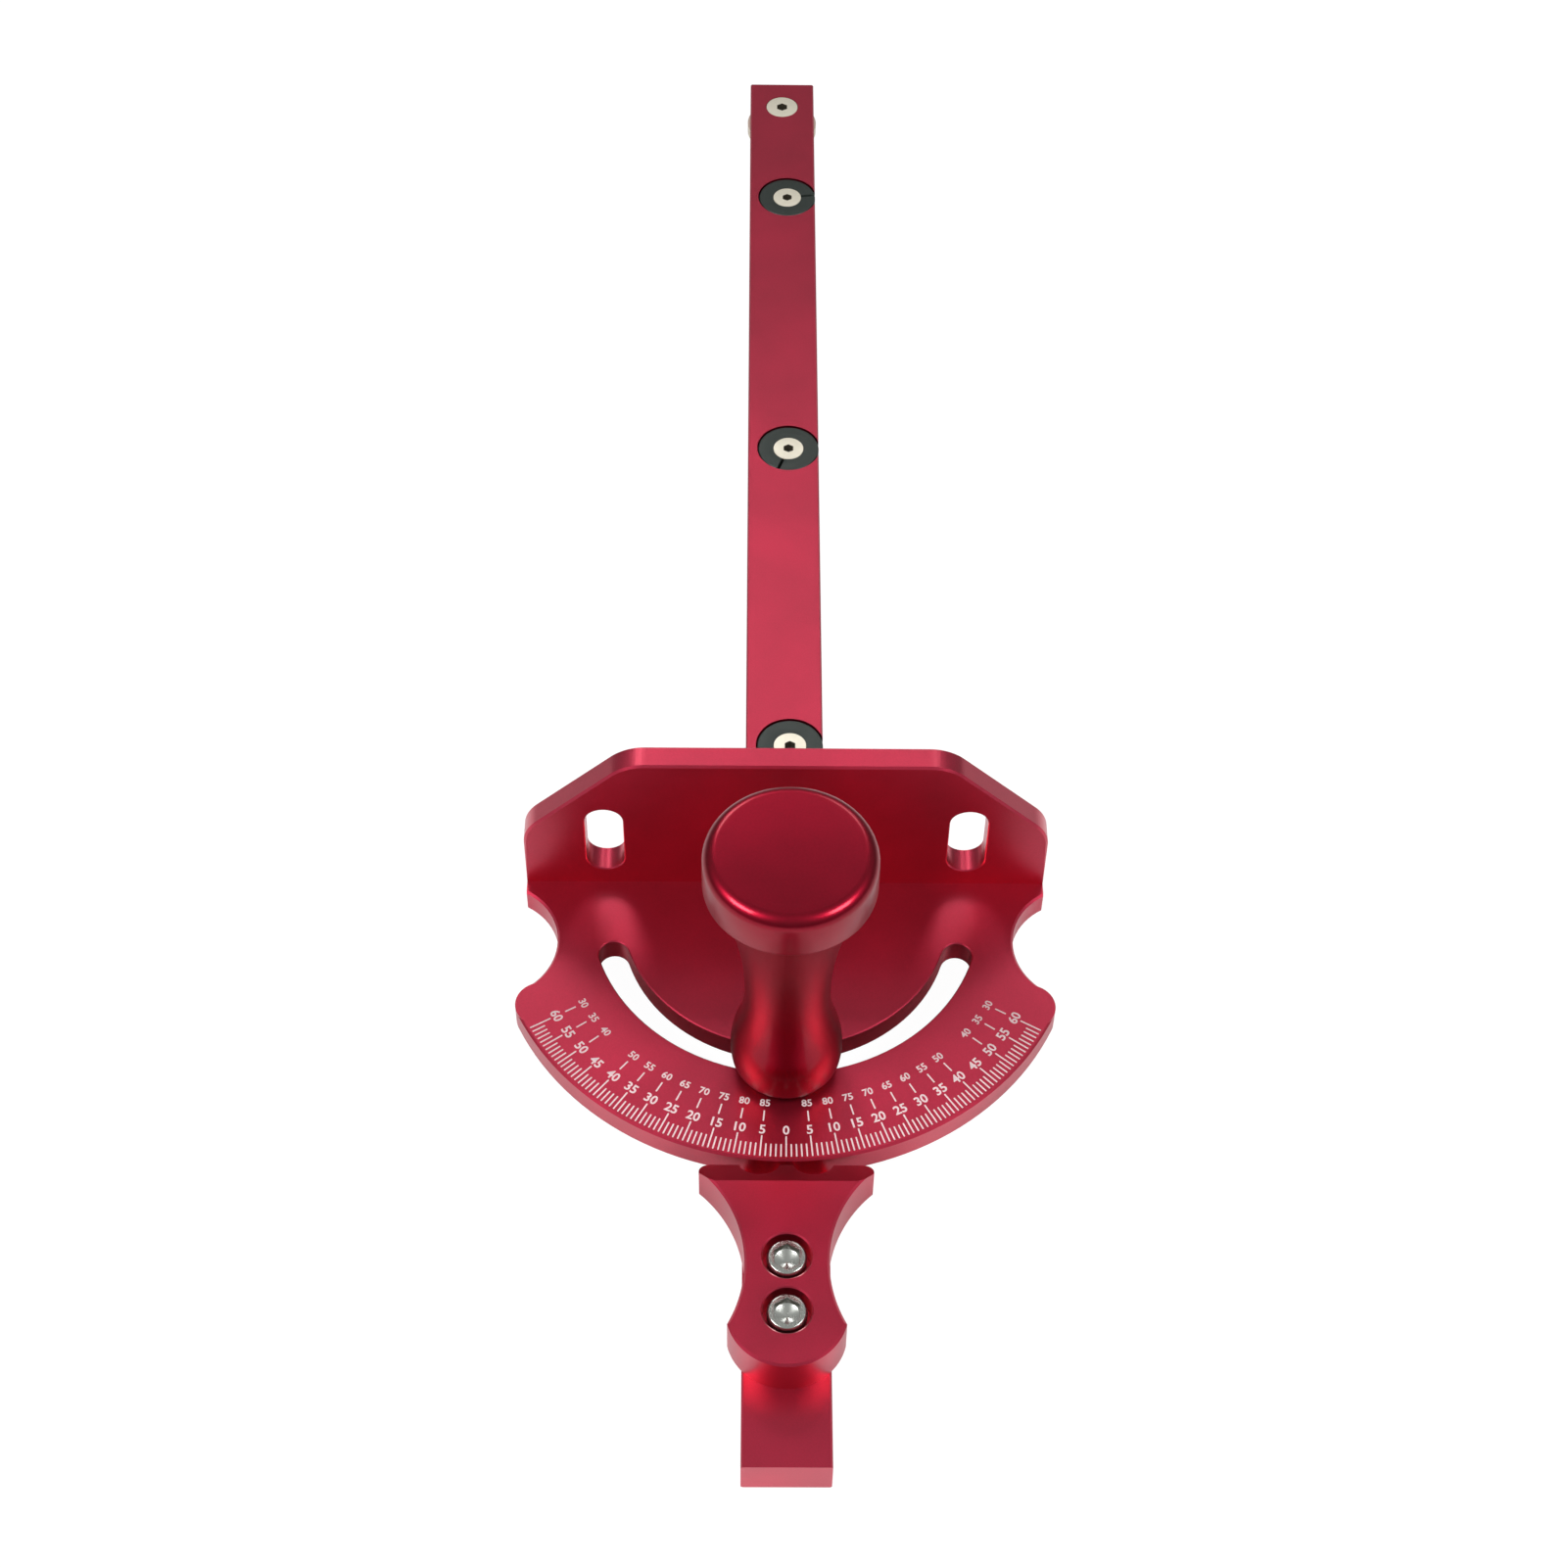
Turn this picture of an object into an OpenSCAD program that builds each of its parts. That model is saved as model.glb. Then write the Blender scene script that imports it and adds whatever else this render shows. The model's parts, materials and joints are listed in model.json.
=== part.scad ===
// Mitre gauge for a 19 mm table slot: a guide bar, a swinging L-shaped head with
// an arc slot, a clamp handle, an index block and three split expansion washers.
// The origin is on the pivot axis at the bar's underside. +Y runs along the bar
// towards its long end, +Z is up.

/* [Bar] */
// Length of the guide bar
bar_len = 450; // [350:5:600]
// Width of the bar, which fits a standard mitre slot
bar_w = 19; // [18:0.05:19.5]
// Height of the bar
bar_h = 9.5; // [9:0.1:12]
// Distance from the pivot to the bar's near end
bar_near = 136.5; // [125:0.5:160]
// Small chamfer along the bar's long edges
bar_break = 0.4; // [0.2:0.1:1]

/* [Head plate] */
// Thickness of the flat plate
plate_t = 6; // [5:0.5:8]
// Radius of the graduated rim
rim_r = 67.5; // [66.5:0.5:68]
// Overall width of the head
head_w = 121; // [119:1:123]
// Radius of the hollow in each side
notch_r = 16; // [14:0.5:17]
// Distance of each hollow's centre from the middle
notch_x = 68.6; // [68:0.1:70]
// Place of each hollow's centre along the bar
notch_y = -9.2; // [-11:0.1:-8]
// Rounding where a hollow runs out into the rim
lobe_r = 5.8; // [4:0.2:6.4]
// Chamfer on the machined edges
edge_break = 0.5; // [0.3:0.1:0.8]

/* [Upright] */
// Thickness of the upright wall
upright_t = 6; // [5:0.5:8]
// Front face of the upright, behind the pivot axis
upright_y = 7.9; // [7.5:0.1:9]
// Height of the upright over the plate
upright_h = 43; // [38:0.5:50]
// Size of the 45 degree corner cut
corner_cut = 24; // [12:1:28]
// Rounding of the corners of the upright
corner_r = 11; // [4:0.5:14]
// Distance of each fence slot from the middle
fence_x = 41.8; // [36:0.1:46]
// Width of a fence slot
fence_w = 8.8; // [6:0.1:10]
// Overall length of a fence slot
fence_len = 22; // [14:0.5:26]
// Lowest point of a fence slot over the plate
fence_low = 5; // [3:0.5:8]

/* [Swing] */
// Radius of the middle of the arc slot, where the lock stud stands
arc_r = 41.5; // [38:0.5:44]
// Width of the arc slot
arc_w = 7; // [6.6:0.1:9]
// Angle from the middle of the arc slot to the centre of each round end
arc_half = 72; // [60:1:74]

/* [Index block] */
// Height of the block over the bar
index_h = 10.5; // [9:0.5:12]
// Half width of the broad rear end
index_wing = 19; // [16:0.5:22]
// Place of the pointer's edge along the bar
index_rear = -69.3; // [-70.5:0.1:-69]
// Place of the front screw and centre of the rounded front end
index_front = -106.1; // [-108:0.1:-104]
// Radius of the rounded front end
index_front_r = 12.9; // [12:0.1:13.5]
// Half width at the narrow waist
waist = 9; // [8.5:0.1:10]
// Place of the waist along the bar
waist_y = -95; // [-97:0.5:-93]
// Radius of the hollow flanks
flank_r = 30.5; // [28:0.5:33]
// Length of the sloping strip behind the pointer
slope_len = 5.9; // [4:0.1:7]
// Drop of the sloping strip
slope_drop = 3.4; // [2:0.1:4]
// Radius of the two scallops that leave the pointer between them
scallop_r = 4.5; // [4:0.1:5]
// Distance of each scallop from the middle
scallop_x = 5.9; // [5.6:0.1:6.5]
// Distance between the two screws
index_pitch = 12.8; // [12:0.1:14]

/* [Handle] */
// Height of the handle
handle_h = 76.5; // [65:0.5:85]
// Radius of the cap
cap_r = 18.2; // [16:0.1:20]
// Height of the cap
cap_h = 11.4; // [8:0.1:12]
// Rounding of the cap's top edge
cap_round = 3; // [1.5:0.5:4]
// Widest radius of the lower bulb
bulb_r = 12.4; // [11.5:0.1:13]
// Height of the widest place
bulb_z = 6.7; // [6:0.1:8]
// Rounding round the foot
foot_round = 3; // [2:0.5:4]
// Radius at the waist
stem_r = 9.35; // [8.5:0.05:10]
// Height of the waist
stem_z = 27.2; // [24:0.1:30]
// Radius of the hollow below the waist
low_curve = 45; // [40:1:60]
// Radius of the longer hollow above the waist
high_curve = 110; // [100:5:140]

/* [Expansion washers] */
// Place of the washer nearest the head
washer_first = 54.5; // [50:0.5:60]
// Distance between washers
washer_pitch = 103.5; // [80:0.5:110]
// Radius of a split washer
washer_r = 8.15; // [8:0.05:8.3]
// Offset of the washers towards the working side of the bar
washer_x = 1.4; // [1.3:0.05:1.5]
// Thickness of a split washer
washer_t = 5.5; // [4:0.5:6]
// Width of the split
split_w = 0.8; // [0.5:0.1:1.2]
// Distance of the T-slot washer from the bar's far end
t_washer_in = 10.5; // [10.5:0.5:20]
// Radius of the T-slot washer
t_washer_r = 10.3; // [10:0.1:10.4]
// Thickness of the T-slot washer
t_washer_t = 3; // [2:0.5:3.5]

/* [Hidden] */
$fn = 96;

// Clearances
face_gap = 0.05;              // between flat faces that slide on each other
fit_gap = 0.05;               // radial running fit of a shank or bush
cut = 1;                      // how far a cutter runs past the metal

// Levels, counted from the bar's underside
plate_z = bar_h + face_gap;
plate_top = plate_z + plate_t;
index_top = bar_h + index_h;

// Pivot: a bush clamped to the bar, on which the plate turns
bush_r = 4.5;
bush_len = plate_t + 3 * face_gap;
pivot_washer_r = 7;
pivot_washer_t = 1.2;
pivot_washer_z = bar_h + bush_len;
spring_washer_r = 6;
spring_washer_t = 0.9;
spring_washer_rise = 0.5;
spring_washer_z = pivot_washer_z + pivot_washer_t;
pivot_head_z = spring_washer_z + spring_washer_t + spring_washer_rise;
pivot_head_r = 5.25;
pivot_head_h = 3.3;
pivot_floor = 1.2;            // metal left under the blind pivot thread

// Threads are drawn as plain cylinders at their nominal size
m4 = 2;
m5 = 2.5;
m6 = 3;

// Clamp: washer and stud
clamp_washer_r = 7.5;
clamp_washer_t = 0.8;
clamp_washer_z = plate_top + face_gap;
handle_z = clamp_washer_z + clamp_washer_t + face_gap;
stud_low = 1;
stud_in_handle = 26;

// Socket cap screws of the index block
cap_head_r = 4.3;
cap_head_h = 5;
cap_head_low = 0.6;           // how far the head sits below the block's top
counterbore_r = 5.3;
counterbore_z = index_top - cap_head_low - cap_head_h;
index_shank_low = 1.5;

// Split washers with their countersunk adjusting screws
washer_top = bar_h - 0.2;
washer_z = washer_top - washer_t;
pocket_gap = 0.3;
adjust_head_r = 4.05;
adjust_low = 0.8;
washer_turn = [-60, -110, 8]; // where each washer's split points

// T-slot washer in its recess at the far end
bar_far = bar_len - bar_near;
t_washer_y = bar_far - t_washer_in;
t_recess = t_washer_t + 0.4;
t_head_r = 4.7;

bar_red = [0.66, 0.10, 0.17];
head_red = [0.64, 0.07, 0.15];
handle_red = [0.60, 0.05, 0.12];
steel = [0.72, 0.73, 0.74];
nickel = [0.80, 0.80, 0.74];
bronze = [0.70, 0.52, 0.26];
dark_plastic = [0.10, 0.15, 0.14];

// ---------------------------------------------------------------- helpers

// Both hands of whatever is drawn on the +X side
module both_sides() {
    children();
    mirror([1, 0, 0]) children();
}

// Points along an arc in the plane
function arc(cx, cy, r, from, to, n = 16) =
    [for (i = [0:n]) [cx + r * cos(from + (to - from) * i / n),
                      cy + r * sin(from + (to - from) * i / n)]];

// Disc whose top edge is chamfered
module chamfered_disc(r, h, c) {
    cylinder(r = r, h = h - c);
    translate([0, 0, h - c]) cylinder(r1 = r, r2 = r - c, h = c);
}

// Cutter for a round through hole with a flared upper mouth; z = 0 is the
// underside of the metal, h its thickness
module flared_hole(r, h, c) {
    translate([0, 0, -cut]) cylinder(r = r, h = h + 2 * cut);
    translate([0, 0, h - c]) cylinder(r1 = r, r2 = r + c + cut, h = c + cut);
}

// Cutter for a round-ended slot along Y with a flared upper mouth
module flared_slot(w, len, h, c) {
    run = len - w;
    for (end = [-1, 1]) translate([0, end * run / 2, 0]) flared_hole(w / 2, h, c);
    translate([0, run / 2, 0]) rotate([90, 0, 0]) linear_extrude(run)
        polygon([[-w / 2, -cut], [w / 2, -cut], [w / 2, h - c], [w / 2 + c + cut, h + cut],
                 [-w / 2 - c - cut, h + cut], [-w / 2, h - c]]);
}

// Six-sided driver socket, cut down from z = 0
module hex_socket(across_flats, depth) {
    translate([0, 0, -depth]) cylinder(r = across_flats / sqrt(3), h = depth + cut, $fn = 6);
}

// Socket cap screw: z = 0 is the seat of the head, the shank points down
module cap_screw(head_r, head_h, shank_r, shank_len, key) {
    difference() {
        union() {
            chamfered_disc(head_r, head_h, 0.5);
            translate([0, 0, -shank_len]) cylinder(r = shank_r, h = shank_len + 0.01);
        }
        translate([0, 0, head_h]) hex_socket(key, head_h * 0.55);
    }
}

// Countersunk screw: z = 0 is the flat top of the head, the rest points down
module countersunk_screw(head_r, shank_r, len, key) {
    cone = head_r - shank_r;
    difference() {
        rotate_extrude()
            polygon([[0, 0], [head_r, 0], [head_r, -0.25], [shank_r, -0.25 - cone],
                     [shank_r, -len], [0, -len]]);
        hex_socket(key, cone);
    }
}

// Cutter for a countersunk head, a little larger all round
module countersink(head_r, shank_r) {
    gap = 0.1;
    rotate_extrude()
        polygon([[0, cut], [head_r + gap, cut], [head_r + gap, -0.25 - gap],
                 [shank_r, -0.25 - gap - (head_r + gap - shank_r)],
                 [0, -0.25 - gap - (head_r + gap - shank_r)]]);
}

// Flat ring
module ring(outer, inner, h) {
    difference() {
        cylinder(r = outer, h = h);
        translate([0, 0, -cut]) cylinder(r = inner, h = h + 2 * cut);
    }
}

// -------------------------------------------------------------------- bar

module bar_section() {
    w = bar_w / 2;
    b = bar_break;
    polygon([[-w + b, 0], [w - b, 0], [w, b], [w, bar_h - b],
             [w - b, bar_h], [-w + b, bar_h], [-w, bar_h - b], [-w, b]]);
}

module bar() color(bar_red) difference() {
    translate([0, bar_far, 0]) rotate([90, 0, 0]) linear_extrude(bar_len) bar_section();
    // blind pivot thread, lock stud thread and the index block's two threads
    translate([0, 0, pivot_floor]) cylinder(r = m6 + fit_gap, h = bar_h);
    translate([0, -arc_r, -cut]) cylinder(r = m6 + fit_gap, h = bar_h + 2 * cut);
    for (i = [0, 1]) translate([0, index_front + i * index_pitch, -cut])
        cylinder(r = m5 + fit_gap, h = bar_h + 2 * cut);
    // washer pockets, which break out through the working side
    for (i = [0:2]) translate([washer_x, washer_first + i * washer_pitch, 0]) {
        translate([0, 0, washer_z - 0.1]) cylinder(r = washer_r + pocket_gap, h = bar_h);
        translate([0, 0, -cut]) cylinder(r = m4 + fit_gap, h = bar_h);
    }
    // far end: recess from below, clearance hole and countersink from above
    translate([0, t_washer_y, 0]) {
        translate([0, 0, -cut]) cylinder(r = t_washer_r + pocket_gap, h = t_recess + cut);
        cylinder(r = m5 + fit_gap, h = bar_h + cut);
        translate([0, 0, bar_h]) countersink(t_head_r, m5 + fit_gap);
    }
}

// ------------------------------------------------------------------- head

// Centre of the rounding between a side hollow and the rim: it touches the rim
// from inside and the hollow from outside
function lobe_centre() =
    let (a = rim_r - lobe_r,
         b = notch_r + lobe_r,
         d = norm([notch_x, notch_y]),
         along = (a * a - b * b + d * d) / (2 * d),
         off = sqrt(a * a - along * along),
         u = [notch_x, notch_y] / d)
    along * u + off * [u[1], -u[0]];

// Flat plate: a half disc with a chamfered rim, squared off at the back
module plate_body() {
    back = upright_y + upright_t;
    lobe = lobe_centre();
    to_rim = lobe / norm(lobe);
    to_notch = ([notch_x, notch_y] - lobe) / norm([notch_x, notch_y] - lobe);
    difference() {
        union() {
            difference() {
                chamfered_disc(rim_r, plate_t, edge_break, $fn = 180);
                translate([-rim_r - cut, notch_y, -cut])
                    cube([2 * (rim_r + cut), 2 * rim_r, plate_t + 2 * cut]);
            }
            translate([-head_w / 2, notch_y - 1, 0]) cube([head_w, back - notch_y + 1, plate_t]);
        }
        both_sides() {
            translate([notch_x, notch_y, 0]) flared_hole(notch_r, plate_t, edge_break);
            // sharp corner outside the lobe's rounding
            translate([0, 0, -cut]) linear_extrude(plate_t + 2 * cut)
                polygon([lobe, lobe + 3 * lobe_r * to_rim,
                         lobe + 3 * lobe_r * (to_rim + to_notch), lobe + 1.2 * lobe_r * to_notch]);
        }
    }
    both_sides() translate(lobe) cylinder(r = lobe_r, h = plate_t, $fn = 64);
}

// Outline of the upright in its own plane: 45 degree corners, all eased
module upright_outline() {
    w = head_w / 2;
    top = plate_t + upright_h;
    shoulder = top - corner_cut;
    t = corner_r * tan(22.5);
    d = t / sqrt(2);
    both_sides() {
        polygon([[0, 0], [w, 0], [w, shoulder - t], [w - d, shoulder + d],
                 [w - corner_cut + d, top - d], [w - corner_cut - t, top], [0, top]]);
        translate([w - corner_r, shoulder - t]) circle(r = corner_r);
        translate([w - corner_cut - t, top - corner_r]) circle(r = corner_r);
    }
}

// Upright wall with broken edges, standing on the plate's back edge
module upright_body() {
    translate([0, upright_y + upright_t, 0]) rotate([90, 0, 0]) hull() {
        translate([0, 0, edge_break]) linear_extrude(upright_t - 2 * edge_break) upright_outline();
        linear_extrude(upright_t) intersection() {
            offset(delta = -edge_break) upright_outline();
            translate([-head_w / 2, edge_break]) square([head_w, 2 * upright_h]);
        }
        // the foot stays square where it runs into the plate
        linear_extrude(upright_t) translate([-head_w / 2, 0]) square([head_w, plate_t]);
    }
}

// Cutter for the arc slot, with flared edges and round ends
module arc_slot() {
    in = arc_r - arc_w / 2;
    out = arc_r + arc_w / 2;
    c = edge_break / 2;
    flare = c + cut;
    rotate([0, 0, -90 - arc_half]) rotate_extrude(angle = 2 * arc_half, $fn = 180)
        polygon([[in, -cut], [out, -cut], [out, plate_t - c], [out + flare, plate_t + cut],
                 [in - flare, plate_t + cut], [in, plate_t - c]]);
    for (a = [-1, 1]) rotate([0, 0, -90 + a * arc_half]) translate([arc_r, 0, 0])
        flared_hole(arc_w / 2, plate_t, c, $fn = 64);
}

module head() color(head_red) translate([0, 0, plate_z]) difference() {
    union() {
        plate_body();
        upright_body();
    }
    translate([0, 0, -cut]) cylinder(r = bush_r + fit_gap, h = plate_t + 2 * cut);
    arc_slot();
    both_sides() translate([fence_x, upright_y + upright_t, plate_t + fence_low + fence_len / 2])
        rotate([90, 0, 0]) flared_slot(fence_w, fence_len, upright_t, edge_break / 2, $fn = 64);
}

// ------------------------------------------------------------ index block

module index_blank() {
    round_r = 2.5;
    w = index_wing;
    translate([0, index_front, 0]) chamfered_disc(index_front_r, index_h, edge_break);
    linear_extrude(index_h) both_sides() {
        polygon([[0, index_front], [w, index_front], [w, index_rear - round_r],
                 [w - round_r, index_rear], [0, index_rear]]);
        translate([w - round_r, index_rear - round_r]) circle(r = round_r);
    }
}

module index_block() color(head_red) translate([0, 0, bar_h]) difference() {
    index_blank();
    both_sides() {
        translate([waist + flank_r, waist_y, 0]) flared_hole(flank_r, index_h, edge_break, $fn = 180);
        translate([scallop_x, index_rear + 1, -cut]) cylinder(r = scallop_r, h = index_h + 2 * cut);
    }
    // strip that slopes down to the pointer
    translate([-index_wing - cut, 0, 0]) rotate([90, 0, 90]) linear_extrude(2 * (index_wing + cut))
        polygon([[index_rear - slope_len, index_h],
                 [index_rear + slope_len, index_h - 2 * slope_drop],
                 [index_rear + slope_len, index_h + cut],
                 [index_rear - slope_len, index_h + cut]]);
    for (i = [0, 1]) translate([0, index_front + i * index_pitch, 0]) {
        translate([0, 0, -cut]) cylinder(r = m5 + fit_gap, h = index_h);
        translate([0, 0, counterbore_z - bar_h]) cylinder(r = counterbore_r, h = index_h);
        translate([0, 0, index_h - 0.3]) cylinder(r1 = counterbore_r, r2 = counterbore_r + 1.3, h = 1.3);
    }
}

module index_screw(i) color(steel)
    translate([0, index_front + i * index_pitch, counterbore_z])
        cap_screw(cap_head_r, cap_head_h, m5, counterbore_z - index_shank_low, 5);

// ------------------------------------------------------------------ pivot

module pivot_bush() color(bronze)
    translate([0, 0, bar_h]) ring(bush_r, m6 + fit_gap, bush_len);

module pivot_washer() color(steel)
    translate([0, 0, pivot_washer_z]) ring(pivot_washer_r, m6 + 0.2, pivot_washer_t);

// Conical spring washer, high in the middle
module pivot_spring_washer() color(steel)
    translate([0, 0, spring_washer_z]) rotate_extrude()
        polygon([[m6 + 0.2, spring_washer_rise], [spring_washer_r, 0],
                 [spring_washer_r, spring_washer_t],
                 [m6 + 0.2, spring_washer_t + spring_washer_rise]]);

// Low round-headed screw: the crown is one arc from the rim to the socket
module pivot_screw() color(steel) {
    crown_r = (pow(pivot_head_r, 2) + pow(pivot_head_h, 2)) / (2 * pivot_head_h);
    low = pivot_floor + 0.4 - pivot_head_z;
    translate([0, 0, pivot_head_z]) difference() {
        rotate_extrude() intersection() {
            union() {
                translate([0, pivot_head_h - crown_r]) circle(r = crown_r);
                translate([0, low]) square([m6, -low + cut]);
            }
            union() {
                square([pivot_head_r + cut, pivot_head_h + cut]);
                translate([0, low]) square([m6, -low + cut]);
            }
        }
        translate([0, 0, pivot_head_h]) hex_socket(4, 2);
    }
}

// ----------------------------------------------------------------- handle

// Half outline of the turned handle: foot rounding, bulb, waist and cap, each
// arc tangent to the next
function handle_outline() =
    let (low_x = stem_r + low_curve,
         high_x = stem_r + high_curve,
         rise = stem_z - bulb_z,
         // the bulb's arc is as large as it must be to touch the lower hollow
         span = low_x - bulb_r,
         ball = (span * span + rise * rise - low_curve * low_curve) / (2 * (low_curve - span)),
         ball_x = bulb_r - ball,
         foot_x = ball_x + sqrt(pow(ball - foot_round, 2) - pow(bulb_z - foot_round, 2)),
         foot_a = -asin((bulb_z - foot_round) / (ball - foot_round)),
         join_a = atan2(rise, low_x - ball_x),
         under = handle_h - cap_h,
         top_a = asin((under - stem_z) / high_curve),
         edge = 1)
    concat([[0, 0]],
           arc(foot_x, foot_round, foot_round, -90, foot_a, 8),
           arc(ball_x, bulb_z, ball, foot_a, join_a, 12),
           arc(low_x, stem_z, low_curve, 180 + join_a, 180, 12),
           arc(high_x, stem_z, high_curve, 180, 180 - top_a, 16),
           arc(cap_r - edge, under + edge, edge, -90, 0, 4),
           arc(cap_r - cap_round, handle_h - cap_round, cap_round, 0, 90, 10),
           [[0, handle_h]]);

module handle() color(handle_red) translate([0, -arc_r, handle_z]) difference() {
    rotate_extrude($fn = 128) polygon(handle_outline());
    translate([0, 0, -cut]) cylinder(r = m6, h = stud_in_handle + cut);
}

module lock_stud() color(steel)
    translate([0, -arc_r, stud_low]) cylinder(r = m6, h = handle_z + stud_in_handle - stud_low);

module clamp_washer() color(steel)
    translate([0, -arc_r, clamp_washer_z]) ring(clamp_washer_r, m6 + 0.25, clamp_washer_t);

// ------------------------------------------------------ expansion washers

module expansion_washer(i) color(dark_plastic)
    translate([washer_x, washer_first + i * washer_pitch, washer_z]) difference() {
        cylinder(r = washer_r, h = washer_t);
        translate([0, 0, -cut]) cylinder(r = m4 + 0.15, h = washer_t + 2 * cut);
        translate([0, 0, washer_t]) countersink(adjust_head_r, m4 + 0.15);
        rotate([0, 0, washer_turn[i]]) translate([0, -split_w / 2, -cut])
            cube([washer_r + cut, split_w, washer_t + 2 * cut]);
    }

module adjust_screw(i) color(nickel)
    translate([washer_x, washer_first + i * washer_pitch, washer_top])
        countersunk_screw(adjust_head_r, m4, washer_top - adjust_low, 2.5);

module t_slot_washer() color(nickel)
    translate([0, t_washer_y, t_recess - t_washer_t])
        ring(t_washer_r, m5 + fit_gap, t_washer_t);

module t_slot_screw() color(nickel)
    translate([0, t_washer_y, bar_h - 0.1]) countersunk_screw(t_head_r, m5, bar_h - 1, 3);

bar();
head();
index_block();
index_screw(1);  // index_screw_rear
index_screw(0);  // index_screw_front
pivot_bush();
pivot_washer();
pivot_spring_washer();
pivot_screw();
handle();
lock_stud();
clamp_washer();
expansion_washer(0);  // expansion_washer_near
expansion_washer(1);  // expansion_washer_middle
expansion_washer(2);  // expansion_washer_far
adjust_screw(0);  // adjust_screw_near
adjust_screw(1);  // adjust_screw_middle
adjust_screw(2);  // adjust_screw_far
t_slot_washer();
t_slot_screw();
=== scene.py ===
# %% [markdown]
# # A mitre gauge in satin red anodised aluminium
#
# A mitre gauge slides in the slot of a table saw and carries the work past the
# blade at a set angle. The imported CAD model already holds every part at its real
# size and on its real pivot. This lesson dresses it: the turned handle, the screws,
# the split washers and the engraved scale are modelled here, and every surface
# gets the finish that it has on the bench.

# %% Load the frame
import json
import math

import bpy
from mathutils import Matrix, Vector


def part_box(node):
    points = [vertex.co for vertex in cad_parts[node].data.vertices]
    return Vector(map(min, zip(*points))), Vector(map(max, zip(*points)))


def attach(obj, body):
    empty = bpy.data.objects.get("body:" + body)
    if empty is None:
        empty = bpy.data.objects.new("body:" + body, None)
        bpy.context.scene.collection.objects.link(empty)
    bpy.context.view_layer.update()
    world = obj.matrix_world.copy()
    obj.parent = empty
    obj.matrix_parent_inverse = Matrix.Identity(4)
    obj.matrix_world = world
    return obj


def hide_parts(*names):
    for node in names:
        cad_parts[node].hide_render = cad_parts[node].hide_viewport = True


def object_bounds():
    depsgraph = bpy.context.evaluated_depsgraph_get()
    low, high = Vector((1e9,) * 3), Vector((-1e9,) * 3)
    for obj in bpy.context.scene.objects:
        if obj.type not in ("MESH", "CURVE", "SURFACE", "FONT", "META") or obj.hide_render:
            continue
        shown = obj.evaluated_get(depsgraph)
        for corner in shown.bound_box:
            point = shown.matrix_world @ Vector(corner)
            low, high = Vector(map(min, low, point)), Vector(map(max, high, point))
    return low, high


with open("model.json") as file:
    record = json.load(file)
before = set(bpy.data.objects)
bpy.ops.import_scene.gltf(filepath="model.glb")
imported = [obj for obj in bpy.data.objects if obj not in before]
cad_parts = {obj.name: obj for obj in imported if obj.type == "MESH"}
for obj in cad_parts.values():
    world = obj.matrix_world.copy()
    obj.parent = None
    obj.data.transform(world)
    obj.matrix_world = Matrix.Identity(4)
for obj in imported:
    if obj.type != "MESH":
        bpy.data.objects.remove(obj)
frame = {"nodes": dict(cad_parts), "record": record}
cad_low, cad_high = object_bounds()
bpy.ops.object.select_all(action="DESELECT")
MM = 0.001
print("CAD box in mm:", [round(x / MM, 1) for x in (*cad_low, *cad_high)])

# %% [markdown]
# The camera stands in front of the short end of the bar and looks down the tool
# at about fifty degrees, as a person at the saw does. A long lens keeps the far
# end of the bar from shrinking too much. The three angles turn the camera in the
# order roll, tilt, heading, so they are multiplied in the opposite order.

# %% Camera
CAMERA_PLACE = Vector((-8.5, -386.7, 549.2)) * MM
HEADING, LOOK_DOWN, ROLL = math.radians(-1.12), math.radians(51.52), math.radians(1.235)
LENS_MM, SENSOR_MM = 64.86, 36

camera = bpy.data.objects.new("camera", bpy.data.cameras.new("camera"))
bpy.context.scene.collection.objects.link(camera)
camera.data.lens = LENS_MM
camera.data.sensor_width = SENSOR_MM
camera.data.clip_start, camera.data.clip_end = 0.01, 20
camera.matrix_world = (Matrix.Translation(CAMERA_PLACE)
                       @ Matrix.Rotation(HEADING, 4, "Z")
                       @ Matrix.Rotation(math.pi / 2 - LOOK_DOWN, 4, "X")
                       @ Matrix.Rotation(ROLL, 4, "Z"))
bpy.context.scene.camera = camera
print("camera is", round(CAMERA_PLACE.length / MM), "mm from the pivot")

# %% [markdown]
# Every material below is built from the same few steps, so small functions come
# first. One turns a colour as painters and printers write it into the linear
# values that a renderer adds up. One adds a node, sets it and wires it. The last
# gives the scale of a pattern from the real size of its features.


# %% Colours and nodes
def linear(hex_colour):
    """An sRGB hex colour as linear red, green, blue and alpha."""
    values = [int(hex_colour[i:i + 2], 16) / 255 for i in (1, 3, 5)]
    return [v / 12.92 if v <= 0.04045 else ((v + 0.055) / 1.055) ** 2.4 for v in values] + [1]


def add_node(tree, kind, values=None, links=None, **settings):
    """A node with its settings, its fixed inputs and its wires."""
    node = tree.nodes.new("ShaderNode" + kind)
    for name, value in settings.items():
        setattr(node, name, value)
    for socket, value in (values or {}).items():
        node.inputs[socket].default_value = value
    for socket, source in (links or {}).items():
        tree.links.new(source, node.inputs[socket])
    return node


def new_material(name, **values):
    """A material with a Principled shader; values are its sockets."""
    material = bpy.data.materials.new(name)
    material.use_nodes = True
    tree = material.node_tree
    tree.nodes.clear()
    sockets = {name.replace("_", " "): value for name, value in values.items()}
    shader = add_node(tree, "BsdfPrincipled", sockets)
    add_node(tree, "OutputMaterial", links={"Surface": shader.outputs[0]})
    return material, tree, shader


def repeats(millimetres):
    """Scale of a pattern whose features are that far apart."""
    return 1 / (millimetres * MM)


print("mid grey #808080 is", round(linear("#808080")[0], 3), "in linear light")

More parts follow.
